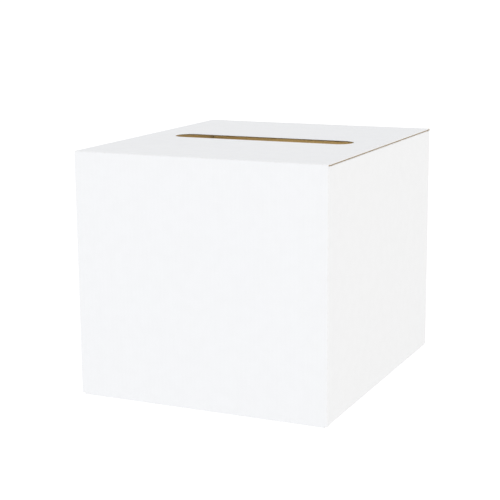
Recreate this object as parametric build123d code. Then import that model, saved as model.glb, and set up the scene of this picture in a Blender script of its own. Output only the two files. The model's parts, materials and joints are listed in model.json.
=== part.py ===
from build123d import *
from math import atan2, ceil, cos, radians, sin
import os

# A ballot box folded from one blank of corrugated board. Four walls make a tube with a glued seam,
# four interlocked flaps close its bottom, and a lid with a ballot slot hinges on the front wall and
# tucks in behind the back wall, over two short dust flaps.
#
# The board has three plies: a white outer liner, a fluted middle and a brown inner liner. Each panel
# between two creases is built three times, each time with a thicker skin taken off its outer face,
# and the differences between those solids are its plies.
#
# Frame: millimetres, +Z up, origin at the middle of the underside, front wall towards -Y.

# Outside of the closed box
box_width = 200.0
box_depth = 230.0
box_height = 186.0

# Plies of the board, from the outside in
outer_liner = 0.25
fluting = 0.75
inner_liner = 0.20
flute_pitch = 3.40
flute_paper = 0.18
flute_chords = 4

# Creases that turn: a bead along one panel's edge lies in a seat along the next panel's edge
bead_radius = 0.45
bead_clearance = 0.10
mitre_gap = 0.20
crease_end_gap = 0.30

# Ballot slot, in the middle of the lid
slot_length = 150.0
slot_width = 22.0

# Lid
lid_side_setback = 0.40
lid_back_gap = 0.30
lid_rest_gap = 0.30
back_wall_drop = 0.30

# Tuck flap, on the lid's back edge, with a slit at each end of its crease
tuck_length = 25.0
tuck_side_clearance = 0.80
tuck_corner_radius = 10.0
tuck_lean = 6.5  # degrees that the flap leans in from upright
lock_slit_length = 12.0
lock_slit_gap = 0.45

# Dust flaps, on the side walls
dust_slot_margin = 3.0
dust_front_setback = 3.0
dust_back_setback = 4.0
dust_front_bevel = 14.0
dust_back_bevel = 4.0
dust_corner_radius = 4.0

# Seam flap, folded from the back wall and glued inside the left wall
seam_flap_width = 24.0
seam_flap_top_gap = 20.0
seam_flap_bottom_gap = 8.0
seam_flap_taper = 7.0
seam_edge_setback = 0.60
glue_film = 0.10
glue_margin = 4.0

# Bottom: the flaps lie in three layers, and the lock flap's tab makes a fourth
layer_gap = 0.15
flap_side_inset = 2.0
flap_taper = 3.0
flap_corner_radius = 5.0
shoulder_past_centre = 20.0
tab_width = 90.0
tab_root_before_centre = 22.0
tab_ramp_length = 28.0
tab_overlap = 42.0
tab_corner_radius = 12.0
relief_slit = 1.6
leg_past_centre = 24.0
notch_side_clearance = 2.0
notch_edge_clearance = 2.0
notch_flare = 5.0
side_flap_tab_clearance = 3.0
side_flap_front_bevel = 30.0
side_flap_diagonal = 32.0
side_flap_end_gap = 28.0

# How far a cutting shape runs past what it cuts
overrun = 5.0

# Sizes that follow from these
board = outer_liner + fluting + inner_liner
half_width = box_width / 2
half_depth = box_depth / 2
inside_half_width = half_width - board
inside_half_depth = half_depth - board
reach = half_width + half_depth
square_fold = 90 / 2
tuck_fold = (90 - tuck_lean) / 2
seat_radius = bead_radius + bead_clearance

side_wall_top = box_height - board - lid_rest_gap
lid_half_width = half_width - lid_side_setback
lid_back = inside_half_depth - lid_back_gap
lid_crease = Vector(0, bead_radius - half_depth, box_height - bead_radius)
tuck_crease = Vector(0, lid_back - bead_radius, box_height - bead_radius)

seam_corner = inside_half_width - board - glue_film
tuck_half_width = seam_corner - tuck_side_clearance
tuck_crease_half = tuck_half_width - lock_slit_length
dust_front = dust_front_setback - inside_half_depth
dust_back = inside_half_depth - dust_back_setback
dust_middle = (dust_front + dust_back) / 2
dust_half_root = (dust_back - dust_front) / 2
dust_reach = inside_half_width - slot_length / 2 - dust_slot_margin

layer = board + layer_gap
tab_half_width = tab_width / 2
tab_root = inside_half_depth - tab_root_before_centre
tab_ramp_end = tab_root + tab_ramp_length
notch_edge = tab_ramp_end + notch_edge_clearance
tab_tip = notch_edge + tab_overlap

# The place of each wall's inner face, for a panel drawn to face -Y with that face at y = 0
front_place = Pos(0, -inside_half_depth, 0)
right_place = Pos(inside_half_width, 0, 0) * Rot(0, 0, 90)
back_place = Pos(0, inside_half_depth, 0) * Rot(0, 0, 180)
left_place = Pos(-inside_half_width, 0, 0) * Rot(0, 0, -90)
seam_place = Pos(-seam_corner, 0, 0) * Rot(0, 0, -90)


def rectangle_between(low_x, high_x, low_y, high_y):
    """A rectangle from its lowest and highest corners."""
    across = high_x - low_x
    along = high_y - low_y
    return Pos(low_x + across / 2, low_y + along / 2) * Rectangle(across, along)


def half_bend(radius, first_angle):
    """The half of a square fold that belongs to one panel: an eighth of a disc about the fold's
    inner corner, counterclockwise from first_angle."""
    far = 2 * board
    rays = [first_angle, first_angle + square_fold]
    corners = [(far * cos(radians(ray)), far * sin(radians(ray))) for ray in rays]
    return Circle(radius) & Polygon((0, 0), *corners, align=None)


def rounded_ends(outline, radius, axis, last):
    """A flap's outline with the two corners of its free end rounded."""
    group = -1 if last else 0
    return fillet(outline.vertices().group_by(axis)[group], radius)


def section_plane(crease, along, outward):
    """The plane of a panel's section: x runs along the panel from the crease, and y outward."""
    return Plane(origin=crease, x_dir=along, z_dir=Vector(*along).cross(Vector(*outward)))


def past_mitre(half_fold, length, low, high):
    """The section of a panel between two heights over its crease, from the mitre of the fold. The
    mitre stands half of mitre_gap back from the line that halves the fold."""
    sine = sin(radians(half_fold))
    cosine = cos(radians(half_fold))
    stand_off = mitre_gap / 2
    tip = stand_off / cosine

    def on_mitre(height):
        return ((stand_off - height * cosine) / sine, height)

    start = [(0, tip), (0, high)] if high > tip else [on_mitre(high)]
    return Polygon(*start, (length, high), (length, low), on_mitre(low), align=None)


def bead_section(half_fold, length, skin):
    """The section of a panel that turns on its crease, with the bead round the crease."""
    section = past_mitre(half_fold, length, bead_radius - board, bead_radius - skin)
    if bead_radius > skin:
        section += Circle(bead_radius - skin)
    return section


def seat_cut(plane, half_fold, half_length):
    """What is cut from a panel along the middle of a crease that it holds, to leave room for the
    bead. Outside, the panel stops short of the bead, so that the other one can turn half a turn."""
    kept = past_mitre(half_fold, 4 * overrun, -overrun, overrun) - Circle(seat_radius)
    kept -= rectangle_between(-overrun, seat_radius, 0, 2 * overrun)
    room = rectangle_between(-overrun, 3 * overrun, -overrun, overrun)
    return extrude(plane * (room - kept), half_length, both=True)


def upright(start, end, start_folded, end_folded, skin):
    """A standing panel that faces -Y with its inner face at y = 0, as high as the box. It runs
    between the inner corners of its folds, or to its cut edge."""
    thickness = board - skin
    plan = rectangle_between(start, end, -thickness, 0)
    if start_folded:
        plan += Pos(start, 0) * half_bend(thickness, -90 - square_fold)
    if end_folded:
        plan += Pos(end, 0) * half_bend(thickness, -90)
    return extrude(plan, box_height)


def wall(start, end, start_folded, end_folded, level, top, skin):
    """An upright panel whose bottom edge folds in on a layer of the bottom, cut square at its top."""
    thickness = board - skin
    fold_height = level * layer + board
    profile = rectangle_between(-thickness, 0, fold_height, top)
    profile += Pos(0, fold_height) * half_bend(thickness, 180)
    solid = upright(start, end, start_folded, end_folded, skin)
    return solid & extrude(Plane.YZ * profile, reach, both=True)


def top_seat(top, middle, half_length):
    """What is cut from the top of a wall that faces -Y for the bead of the flap that hinges there,
    from the middle of that flap's crease."""
    crease = Vector(middle, bead_radius - board, top - bead_radius)
    return seat_cut(section_plane(crease, (0, 0, -1), (0, -1, 0)), square_fold, half_length)


def front_wall(skin):
    """The front wall, on which the lid hinges."""
    solid = wall(-inside_half_width, inside_half_width, True, True, 0, box_height, skin)
    return front_place * (solid - top_seat(box_height, 0, reach))


def right_wall(skin):
    """The right wall, which carries a dust flap."""
    solid = wall(-inside_half_depth, inside_half_depth, True, True, 1, side_wall_top, skin)
    return right_place * (solid - top_seat(side_wall_top, dust_middle, dust_half_root + crease_end_gap))


def back_wall(skin):
    """The back wall, folded into the seam flap on the left and cut square along its top."""
    top = box_height - back_wall_drop
    return back_place * wall(-inside_half_width, seam_corner, True, True, 2, top, skin)


def left_wall(skin):
    """The left wall. Its back edge is cut, and laps over the seam flap's fold."""
    solid = wall(seam_edge_setback - half_depth, inside_half_depth, False, True, 1, side_wall_top, skin)
    return left_place * (solid - top_seat(side_wall_top, -dust_middle, dust_half_root + crease_end_gap))


def seam_outline(margin):
    """The seam flap's outline, or that of the glue on it, seen from the right."""
    start = -inside_half_depth
    end = start + seam_flap_width - margin
    low = 2 * layer + board + seam_flap_bottom_gap + margin
    high = box_height - seam_flap_top_gap - margin
    return Polygon(
        (start - board, low),
        (start + margin, low),
        (end, low + seam_flap_taper),
        (end, high - seam_flap_taper),
        (start + margin, high),
        (start - board, high),
        align=None,
    )


def seam_flap(skin):
    """The flap of the tube's seam, folded from the back wall and glued inside the left wall."""
    start = -inside_half_depth
    solid = upright(start, start + seam_flap_width, True, False, skin)
    return seam_place * (solid & extrude(Plane.XZ * seam_outline(0), 2 * board, both=True))


def seam_glue():
    """The film of glue between the seam flap and the left wall."""
    strip = seam_outline(glue_margin) & rectangle_between(-inside_half_depth + glue_margin, 0, 0, box_height)
    return left_place * extrude(Plane.XZ * strip, -glue_film)


def bottom_flap(outline, root_half_width, level, skin):
    """A flat flap below a wall that faces -Y: its outline, from y = 0 inward, on a layer of the
    bottom, and its half of the fold."""
    low = level * layer
    solid = Pos(0, 0, low + skin) * extrude(outline, board - skin)
    fold = Plane.YZ * (Pos(0, low + board) * half_bend(board - skin, 180 + square_fold))
    return solid + extrude(fold, root_half_width, both=True)


def lock_tab(skin):
    """The tab in the middle of the lock flap, which rises through the slot flap's notch."""
    rise = 3 * layer

    def ramp(height):
        """The ramp at a height in the board, as two arcs that leave and join the flat."""
        middle = (tab_root + tab_ramp_length / 2, rise / 2 + height)
        leaving = TangentArc((tab_root, height), middle, tangent=(1, 0))
        joining = TangentArc((tab_ramp_end, rise + height), middle, tangent=(-1, 0))
        return [leaving, joining]

    root_line = Line((tab_root, skin), (tab_root, board))
    tongue = Polyline(
        (tab_ramp_end, rise + skin),
        (tab_tip, rise + skin),
        (tab_tip, rise + board),
        (tab_ramp_end, rise + board),
    )
    profile = make_face([*ramp(skin), *ramp(board), root_line, tongue])
    plan = rectangle_between(-tab_half_width, tab_half_width, tab_root, tab_tip)
    plan = rounded_ends(plan, tab_corner_radius, Axis.Y, True)
    return extrude(Plane.YZ * profile, tab_half_width, both=True) & extrude(plan, rise + 2 * board)


def lock_flap(skin):
    """The flap that is folded last, below the front wall. Its shoulders lie flat under the other
    flaps, and its tab lies on top of them."""
    root = inside_half_width - flap_side_inset
    tip = root - flap_taper
    shoulder_end = inside_half_depth + shoulder_past_centre
    slits = tab_half_width + relief_slit
    outline = Polygon((-root, 0), (root, 0), (tip, shoulder_end), (-tip, shoulder_end), align=None)
    outline = rounded_ends(outline, flap_corner_radius, Axis.Y, True)
    outline -= rectangle_between(-slits, slits, tab_root, shoulder_end + overrun)
    return front_place * (bottom_flap(outline, root, 0, skin) + lock_tab(skin))


def slot_flap(skin):
    """The flap that is folded first, below the back wall. Two legs lie on the side flaps, and the
    notch between them lets the lock flap's tab through."""
    root = inside_half_width - flap_side_inset
    tip = root - flap_taper
    leg_end = inside_half_depth + leg_past_centre
    notch_root = 2 * inside_half_depth - notch_edge
    notch = tab_half_width + notch_side_clearance
    mouth_end = leg_end + overrun
    outline = Polygon((-root, 0), (root, 0), (tip, leg_end), (-tip, leg_end), align=None)
    outline = rounded_ends(outline, flap_corner_radius, Axis.Y, True)
    mouth = Polygon(
        (-notch, notch_root),
        (notch, notch_root),
        (notch + notch_flare, mouth_end),
        (-notch - notch_flare, mouth_end),
        align=None,
    )
    mouth = rounded_ends(mouth, flap_corner_radius, Axis.Y, False)
    return back_place * bottom_flap(outline - mouth, root, 2, skin)


def right_bottom_flap(skin):
    """The bottom flap below the right wall, between the lock flap and the slot flap. It keeps clear
    of the tab's ramp, and reaches under the slot flap behind it."""
    root = inside_half_depth - board - flap_side_inset
    shallow = inside_half_width - tab_half_width - side_flap_tab_clearance
    deep = inside_half_width - side_flap_end_gap / 2
    step = notch_edge - inside_half_depth
    outline = Polygon(
        (-root, 0),
        (root, 0),
        (root - flap_taper, deep),
        (step + side_flap_diagonal, deep),
        (step, shallow),
        (side_flap_front_bevel - root, shallow),
        align=None,
    )
    outline = rounded_ends(outline, flap_corner_radius, Axis.Y, True)
    return right_place * bottom_flap(outline, root, 1, skin)


def left_bottom_flap(skin):
    """The bottom flap below the left wall."""
    return mirror(right_bottom_flap(skin), Plane.YZ)


def lid_panel(section):
    """The lid with a given section at its hinge: its sides, the ballot slot, and the seat along its
    back edge for the tuck flap's bead."""
    plane = section_plane(lid_crease, (0, 1, 0), (0, 0, 1))
    solid = extrude(plane * section, lid_half_width, both=True)

    back_plane = section_plane(tuck_crease, (0, -1, 0), (0, 0, 1))
    solid -= seat_cut(back_plane, tuck_fold, tuck_crease_half + crease_end_gap)

    slot = SlotOverall(slot_length, slot_width)
    return solid - Pos(0, 0, box_height) * extrude(slot, 2 * board, both=True)


def lid(skin):
    """The lid, with the bead of its hinge on the front wall."""
    return lid_panel(bead_section(square_fold, lid_back - lid_crease.Y, skin))


def flute_line(offset, count):
    """One face of the fluted paper, offset from the middle of the paper. Each crest and each trough
    is an arc, drawn as chords, from one place where the wave crosses its middle to the next."""
    swing = (fluting - flute_paper) / 2
    quarter = flute_pitch / 4
    radius = (quarter**2 + swing**2) / (2 * swing)
    half_turn = 2 * atan2(swing, quarter)
    points = []
    for index in range(-count, count):
        side = 1 if index % 2 == 0 else -1
        face_radius = radius + side * offset
        for step in range(flute_chords):
            angle = half_turn * (2 * step / flute_chords - 1)
            across = (2 * index + 1) * quarter + face_radius * sin(angle)
            up = side * (swing - radius + face_radius * cos(angle))
            points.append((across, up))
    return points


def lid_flutes():
    """The lid's fluted middle, a wave of paper whose flutes run from front to back. It shows in the
    ballot slot and along the lid's edges."""
    count = 2 * ceil(half_width / flute_pitch)
    upper = flute_line(flute_paper / 2, count)
    lower = flute_line(-flute_paper / 2, count)
    wave = Polygon(*upper, *reversed(lower), align=None)
    middle = Pos(0, 0, box_height - outer_liner - fluting / 2)
    sheet = middle * extrude(Plane.XZ * wave, half_depth, both=True)
    return sheet & lid_panel(past_mitre(square_fold, lid_back - lid_crease.Y, -overrun, overrun))


def tuck_flap(skin):
    """The flap on the lid's back edge, which goes in behind the back wall. Beyond each end of its
    crease a slit parts it from the lid."""
    lean = radians(tuck_lean)
    along = (0, -sin(lean), -cos(lean))
    outward = (0, cos(lean), -sin(lean))
    section = bead_section(tuck_fold, tuck_length, skin)
    solid = extrude(section_plane(tuck_crease, along, outward) * section, tuck_half_width, both=True)

    slit_edge = bead_radius - board - lock_slit_gap
    face = rectangle_between(-tuck_half_width, tuck_half_width, -tuck_length, slit_edge)
    face = rounded_ends(face, tuck_corner_radius, Axis.Y, False)
    face += rectangle_between(-tuck_crease_half, tuck_crease_half, slit_edge - overrun, overrun)
    plane = Plane(origin=tuck_crease, x_dir=(-1, 0, 0), z_dir=outward)
    return solid & extrude(plane * face, overrun, both=True)


def right_dust_flap(skin):
    """The short flap on top of the right wall. It stops short of the ballot slot, and its bevel
    next to the lid's hinge lets it rise with the lid."""
    crease = Vector(0, bead_radius - board, side_wall_top - bead_radius)
    section = bead_section(square_fold, dust_reach + board, skin)
    solid = extrude(section_plane(crease, (0, 1, 0), (0, 0, 1)) * section, reach, both=True)
    outline = Polygon(
        (dust_front, -2 * board),
        (dust_back, -2 * board),
        (dust_back, 0),
        (dust_back - dust_back_bevel, dust_reach),
        (dust_front + dust_front_bevel, dust_reach),
        (dust_front, 0),
        align=None,
    )
    outline = rounded_ends(outline, dust_corner_radius, Axis.Y, True)
    return right_place * (solid & extrude(outline, box_height))


def left_dust_flap(skin):
    """The dust flap on the left wall."""
    return mirror(right_dust_flap(skin), Plane.YZ)


panels = [
    front_wall,
    right_wall,
    back_wall,
    left_wall,
    seam_flap,
    lock_flap,
    slot_flap,
    left_bottom_flap,
    right_bottom_flap,
    lid,
    tuck_flap,
    left_dust_flap,
    right_dust_flap,
]


def plies(panel):
    """A panel's plies, by name. Only the lid's flutes show, so only they are a wave."""
    whole = panel(0)
    below_liner = panel(outer_liner)
    below_fluting = panel(outer_liner + fluting)
    middle = lid_flutes() if panel is lid else below_liner - below_fluting
    return {
        "outer_liner": whole - below_liner,
        "fluting": middle,
        "inner_liner": below_fluting,
    }


def main():
    """Writes one file for each ply of each panel, and one for the glue."""
    os.makedirs("parts", exist_ok=True)
    for panel in panels:
        for ply, solid in plies(panel).items():
            export_step(solid, f"parts/{panel.__name__}_{ply}.step")
    export_step(seam_glue(), "parts/seam_glue.step")


main()
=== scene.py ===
"""The looks of a folded ballot box of corrugated board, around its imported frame.

The board is modelled as it is made: liner sheets, a wave of fluted paper between them, and creases
where the plies bend round together. Every panel has its own three plies, and every crease is a piece.
"""
import json
import logging
import math
from collections.abc import Callable, Sequence
from dataclasses import dataclass
from enum import Enum

import bpy
from mathutils import Matrix, Vector


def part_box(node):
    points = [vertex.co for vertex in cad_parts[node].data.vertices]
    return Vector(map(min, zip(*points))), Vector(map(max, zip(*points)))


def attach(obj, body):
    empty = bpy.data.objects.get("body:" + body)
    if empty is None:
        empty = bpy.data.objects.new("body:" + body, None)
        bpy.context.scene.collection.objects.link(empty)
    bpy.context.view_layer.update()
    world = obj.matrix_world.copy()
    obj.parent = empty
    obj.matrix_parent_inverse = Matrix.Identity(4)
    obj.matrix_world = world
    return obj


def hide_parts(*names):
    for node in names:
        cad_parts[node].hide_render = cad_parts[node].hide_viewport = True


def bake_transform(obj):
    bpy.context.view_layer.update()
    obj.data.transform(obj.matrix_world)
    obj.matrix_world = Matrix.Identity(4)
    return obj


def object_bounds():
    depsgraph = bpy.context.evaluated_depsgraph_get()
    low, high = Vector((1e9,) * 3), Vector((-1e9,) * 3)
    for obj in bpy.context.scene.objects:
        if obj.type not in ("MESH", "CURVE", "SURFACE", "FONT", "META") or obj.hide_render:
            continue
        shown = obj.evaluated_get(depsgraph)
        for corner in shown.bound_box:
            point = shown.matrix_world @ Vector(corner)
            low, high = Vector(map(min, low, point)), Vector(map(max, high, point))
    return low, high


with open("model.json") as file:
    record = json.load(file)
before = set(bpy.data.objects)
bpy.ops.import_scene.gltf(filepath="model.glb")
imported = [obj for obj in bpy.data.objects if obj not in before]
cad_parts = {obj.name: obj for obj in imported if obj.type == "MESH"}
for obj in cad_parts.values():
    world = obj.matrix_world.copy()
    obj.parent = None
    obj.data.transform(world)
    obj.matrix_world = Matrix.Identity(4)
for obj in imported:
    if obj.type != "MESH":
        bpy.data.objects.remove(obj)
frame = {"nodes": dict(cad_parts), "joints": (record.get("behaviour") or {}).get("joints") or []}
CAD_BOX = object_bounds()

Point = tuple[float, float]
Line = tuple[Point, Point]
Place = tuple[float, float, float]
Colour = tuple[float, float, float, float]
Value = float | Sequence[float] | bpy.types.NodeSocket

MM = 0.001
LOG = logging.getLogger("ballot_box")
X = Vector((1, 0, 0))
Y = Vector((0, 1, 0))
Z = Vector((0, 0, 1))

# How close a vertex has to be to a place to be found there, how close two vertices are to be one,
# how much larger a sheet starts than its outline, and the sharpest bend that is shaded smooth.
NEAR = 0.01 * MM
TOUCH = 0.001 * MM
SPARE = 2 * MM
SMOOTH_BEND = math.radians(32)


class FluteRun(Enum):
    """The axis of the box that the flutes of a panel are spaced along."""

    ACROSS = "X"
    ALONG = "Y"

    @classmethod
    def of(cls, along: Vector, outward: Vector) -> "FluteRun":
        """The axis for a panel or crease, from the ways that it runs and looks."""
        return cls.ALONG if abs(along.cross(outward).y) > 0.5 else cls.ACROSS


class Side(Enum):
    """The two upright sides of the box, by the sign of X."""

    RIGHT = 1
    LEFT = -1

    @property
    def label(self) -> str:
        """The side's name, as in the frame's nodes."""
        return self.name.lower()

    @property
    def outward(self) -> Vector:
        """The way that the side's white face looks."""
        return X * self.value

    def span(self, front: float, back: float) -> Point:
        """A span from front to back along the X of the side's own panels, lower end first."""
        return (front, back) if self is Side.RIGHT else (-back, -front)


class Ply(Enum):
    """A ply of the board: its sheet's name, the CAD node that it replaces, and its slot."""

    OUTER = ("outer_sheet", "outer_liner", "white_liner")
    INNER = ("inner_sheet", "inner_liner", "kraft_liner")
    FLUTED = ("fluted_paper", "fluting", "flute_paper")


# Board and box sizes


@dataclass(frozen=True)
class Board:
    """The corrugated board: its plies from the outside in, its flutes, and how it is cut and folded."""

    outer_liner: float = 0.25 * MM
    fluting: float = 0.75 * MM
    inner_liner: float = 0.20 * MM
    flute_pitch: float = 3.40 * MM
    flute_paper: float = 0.18 * MM
    glue_line: float = 0.01 * MM
    outer_dip: float = 0.010 * MM
    inner_dip: float = 0.022 * MM
    dip_margin: float = 2.0 * MM
    crush_drop: float = 0.55 * MM
    crush_reach: float = 0.80 * MM
    crush_steps: int = 4
    liner_columns: int = 4
    wave_columns: int = 8
    flank: float = 1.5 * MM
    cut_gap: float = 0.08 * MM

    @property
    def thickness(self) -> float:
        """The whole board's thickness."""
        return self.outer_liner + self.fluting + self.inner_liner

    @property
    def swing(self) -> float:
        """How far the middle of the fluted paper leaves the middle of the fluting, each way."""
        return (self.fluting - self.flute_paper) / 2 - self.glue_line


BOARD = Board()


@dataclass(frozen=True)
class BoxSizes:
    """The box's main sizes and crease lines, in metres, worked out from the frame."""

    half_width: float
    half_depth: float
    height: float
    layer: float
    wall_top: float
    back_top: float
    lid_half_width: float
    lid_back: float
    left_edge_setback: float = 0.60 * MM

    @classmethod
    def from_frame(cls) -> "BoxSizes":
        """Reads the sizes from the boxes of the frame's nodes.

        Returns:
            The box's sizes.
        """
        low, high = CAD_BOX
        lid_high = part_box("lid_inner_liner")[1]
        return cls(
            half_width=(high.x - low.x) / 2,
            half_depth=(high.y - low.y) / 2,
            height=high.z,
            layer=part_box("right_bottom_flap_outer_liner")[0].z,
            wall_top=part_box("right_dust_flap_outer_liner")[1].z,
            back_top=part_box("back_wall_inner_liner")[1].z,
            lid_half_width=lid_high.x,
            lid_back=lid_high.y,
        )

    @property
    def inside_x(self) -> float:
        """Half of the width between the inner faces of the side walls."""
        return self.half_width - BOARD.thickness

    @property
    def inside_y(self) -> float:
        """Half of the depth between the inner faces of the front and back walls."""
        return self.half_depth - BOARD.thickness

    @property
    def left_edge(self) -> float:
        """The Y of the left wall's back edge, where it laps over the seam."""
        return self.half_depth - self.left_edge_setback

    @property
    def lid_crease(self) -> float:
        """The height of the front wall, up to the lid's crease."""
        return self.height - BOARD.thickness - BOARD.flank


# Hand tools


def smooth_step(share: float) -> float:
    """An even rise from 0 to 1 as two parabolas, which leaves and joins the flat."""
    return 2 * share**2 if share < 0.5 else 1 - 2 * (1 - share) ** 2


def mirrored(start: Point, end: Point) -> tuple[Line, Line]:
    """A straight cut on the right, and its mirror image on the left."""
    return (start, end), ((-end[0], end[1]), (-start[0], start[1]))


def corners(*spans: Point) -> tuple[Vector, Vector]:
    """The lowest and highest corner of a block, from its spans along X, Y and Z."""
    low, high = zip(*spans)
    return Vector(low), Vector(high)


def joint_axis(name: str) -> Vector:
    """A point on a joint's axis, from the frame."""
    joint = next(joint for joint in frame["joints"] if joint["name"] == name)
    return Vector(joint["pos_m"])


def coat(obj: bpy.types.Object, *finishes: bpy.types.Material) -> None:
    """Gives an object its finishes, in place of any that it has.

    Args:
        obj: The object.
        *finishes: Its finishes, in the order of their numbers.
    """
    obj.data.materials.clear()
    for finish in finishes:
        obj.data.materials.append(finish)


def local_frame(corner: Vector, along: Vector, outward: Vector) -> Matrix:
    """The frame of a panel or crease: Y runs along, Z outward, and X across.

    Args:
        corner: The frame's origin.
        along: The direction of Y.
        outward: The direction of Z.

    Returns:
        The matrix that puts a local mesh in its place.
    """
    matrix = Matrix((along.cross(outward), along, outward)).transposed().to_4x4()
    matrix.translation = corner
    return matrix


class Workpiece:
    """A mesh on the bench, shaped by hand. Sheets lie flat: X across the flutes, Y along them."""

    def __init__(self, name: str) -> None:
        """Takes up the object that was just added, and names it."""
        self.obj = bpy.context.active_object
        self.obj.name = self.obj.data.name = name

    @classmethod
    def start(cls, name: str, low: Vector, high: Vector, grid: tuple[int, int] | None = None) -> "Workpiece":
        """Starts from a block between two corners, or from a flat sheet in columns and rows.

        Args:
            name: The piece's name.
            low: The lowest corner.
            high: The highest corner.
            grid: The sheet's columns and rows, or nothing for a block.

        Returns:
            The piece, with its place in its mesh.
        """
        bpy.ops.object.select_all(action="DESELECT")
        if grid:
            bpy.ops.mesh.primitive_grid_add(x_subdivisions=grid[0], y_subdivisions=grid[1], size=1)
        else:
            bpy.ops.mesh.primitive_cube_add(size=1)
        piece = cls(name)
        bpy.ops.transform.resize(value=[span or 1.0 for span in high - low])
        bpy.ops.transform.translate(value=(low + high) / 2)
        bpy.ops.object.transform_apply(location=True, rotation=True, scale=True)
        return piece

    def pick(self, test: Callable[[Vector], bool], faces: bool = False) -> None:
        """Selects vertices or faces by their place, and opens the mesh for editing.

        Args:
            test: Tells from a vertex's place, or a face's centre, whether it is picked.
            faces: Whether faces are picked.
        """
        self.close()
        mesh = self.obj.data
        for parts in (mesh.vertices, mesh.edges, mesh.polygons):
            parts.foreach_set("select", [False] * len(parts))
        if faces:
            mesh.polygons.foreach_set("select", [test(face.center) for face in mesh.polygons])
        else:
            mesh.vertices.foreach_set("select", [test(vertex.co) for vertex in mesh.vertices])
        bpy.context.tool_settings.mesh_select_mode = (not faces, False, faces)
        bpy.ops.object.mode_set(mode="EDIT")

    def pick_all(self) -> None:
        """Selects the whole mesh, and opens it for editing."""
        self.close()
        bpy.ops.object.mode_set(mode="EDIT")
        bpy.ops.mesh.select_all(action="SELECT")

    def close(self) -> None:
        """Leaves the mesh, with this piece alone selected."""
        if bpy.context.mode != "OBJECT":
            bpy.ops.object.mode_set(mode="OBJECT")
        bpy.ops.object.select_all(action="DESELECT")
        self.obj.select_set(True)
        bpy.context.view_layer.objects.active = self.obj

    def move(self, step: Place) -> None:
        """Moves what is picked."""
        bpy.ops.transform.translate(value=step)

    def score(self, place: Place, normal: Place, clear_outer: bool = False) -> None:
        """Divides the whole mesh along a plane, and may clear what lies on the normal's side."""
        self.pick_all()
        bpy.ops.mesh.bisect(plane_co=place, plane_no=normal, clear_outer=clear_outer)

    def modify(self, kind: str, **settings: object) -> None:
        """Adds a modifier and applies it.

        Args:
            kind: The modifier's type.
            **settings: What is set on it.
        """
        self.close()
        bpy.ops.object.modifier_add(type=kind)
        modifier = self.obj.modifiers[-1]
        for name, value in settings.items():
            setattr(modifier, name, value)
        bpy.ops.object.modifier_apply(modifier=modifier.name)

    def cut(self, die: "Workpiece", keep: bool) -> None:
        """Cuts the piece with a die, and keeps what lies in the die or what lies outside it."""
        operation = "INTERSECT" if keep else "DIFFERENCE"
        self.modify("BOOLEAN", object=die.obj, solver="EXACT", operation=operation)

    def weld(self) -> None:
        """Merges what coincides and turns every face outward."""
        self.pick_all()
        bpy.ops.mesh.remove_doubles(threshold=TOUCH)
        bpy.ops.mesh.dissolve_degenerate(threshold=TOUCH)
        bpy.ops.mesh.normals_make_consistent(inside=False)
        self.close()

    def smooth(self) -> None:
        """Shades the piece smooth, apart from its sharp edges."""
        self.close()
        bpy.ops.object.shade_smooth_by_angle(angle=SMOOTH_BEND)

    def place(self, frame_of_piece: Matrix) -> None:
        """Puts the piece in its place on the box, with the place in its mesh.

        Args:
            frame_of_piece: The frame that it was drawn in, on the box.
        """
        self.close()
        self.obj.matrix_world = frame_of_piece
        bpy.ops.object.transform_apply(location=True, rotation=True, scale=True)

    def scrap(self) -> None:
        """Throws the piece away."""
        self.close()
        bpy.ops.object.delete()


# Finishes


class Graph:
    """A node graph, whose nodes are fed as they are added."""

    def __init__(self, owner: bpy.types.Material | bpy.types.World) -> None:
        """Opens the graph of a material or of the surroundings."""
        owner.use_nodes = True
        self.tree = owner.node_tree

    def feed(self, node: bpy.types.Node, values: dict[str | int, Value]) -> None:
        """Sets a node's inputs, or links them to other nodes.

        Args:
            node: The node.
            values: A value or a socket for each input, by its name or number.
        """
        for name, value in values.items():
            if isinstance(value, bpy.types.NodeSocket):
                self.tree.links.new(value, node.inputs[name])
            else:
                node.inputs[name].default_value = value

    def add(
        self, kind: str, output: str | int, values: dict[str | int, Value], **settings: str
    ) -> bpy.types.NodeSocket:
        """Adds a node and feeds it.

        Args:
            kind: The node's type.
            output: The name or number of the output that is wanted.
            values: A value or a socket for each input.
            **settings: What is set on the node itself.

        Returns:
            The output's socket.
        """
        node = self.tree.nodes.new(kind)
        for name, value in settings.items():
            setattr(node, name, value)
        self.feed(node, values)
        return node.outputs[output]


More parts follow.
